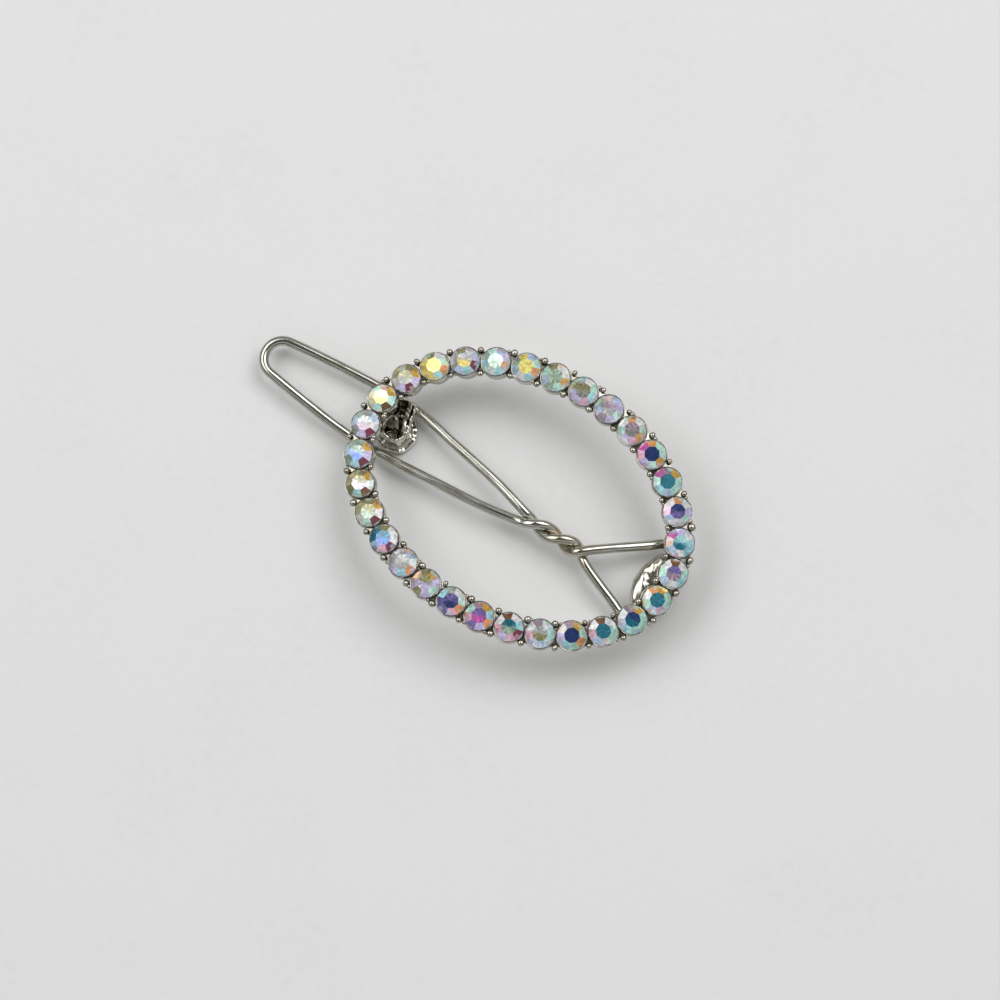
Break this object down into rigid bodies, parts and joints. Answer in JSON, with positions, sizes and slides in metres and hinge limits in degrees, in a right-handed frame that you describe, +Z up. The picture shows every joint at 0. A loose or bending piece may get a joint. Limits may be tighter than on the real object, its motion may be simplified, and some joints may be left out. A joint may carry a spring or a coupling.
{
  "type": "rhinestone hair clip",
  "caption": "Oval hair clip: a ring of round cut stones in metal cups over a twisted spring-wire clasp that swings on a hinge lug and snaps over a catch stud.",
  "frame": {"origin": "under the middle of the whole clip, on the surface its two feet stand on", "axes": "+X along the clip from the tip of the wire loop to the hinge, +Z up through the stones' tables"},
  "size_m": [0.0543, 0.0306, 0.0076],
  "materials": {
    "plated_alloy": "polished",
    "plated_steel_wire": "polished",
    "iridescent_glass": "foil-backed, iridescent coating"
  },
  "bodies": {
    "top": {"frame": "plated_alloy", "hinge_lug": "plated_alloy", "catch_stud": "plated_alloy", "rhinestone_01": "iridescent_glass", "rhinestone_02": "iridescent_glass", "rhinestone_03": "iridescent_glass", "rhinestone_04": "iridescent_glass", "rhinestone_05": "iridescent_glass", "rhinestone_06": "iridescent_glass", "rhinestone_07": "iridescent_glass", "rhinestone_08": "iridescent_glass", "rhinestone_09": "iridescent_glass", "rhinestone_10": "iridescent_glass", "rhinestone_11": "iridescent_glass", "rhinestone_12": "iridescent_glass", "rhinestone_13": "iridescent_glass", "rhinestone_14": "iridescent_glass", "rhinestone_15": "iridescent_glass", "rhinestone_16": "iridescent_glass", "rhinestone_17": "iridescent_glass", "rhinestone_18": "iridescent_glass", "rhinestone_19": "iridescent_glass", "rhinestone_20": "iridescent_glass", "rhinestone_21": "iridescent_glass", "rhinestone_22": "iridescent_glass", "rhinestone_23": "iridescent_glass", "rhinestone_24": "iridescent_glass", "rhinestone_25": "iridescent_glass", "rhinestone_26": "iridescent_glass", "rhinestone_27": "iridescent_glass", "rhinestone_28": "iridescent_glass", "rhinestone_29": "iridescent_glass", "rhinestone_30": "iridescent_glass"},
    "clasp": {"spring_wire": "plated_steel_wire"}
  },
  "joints": [
    {"name": "clasp_hinge", "type": "hinge", "parent": "top", "child": "clasp", "pos_m": [0.02357, 0, 0.0016], "axis": [0, -1, 0], "range_deg": [0, 100]}
  ]
}
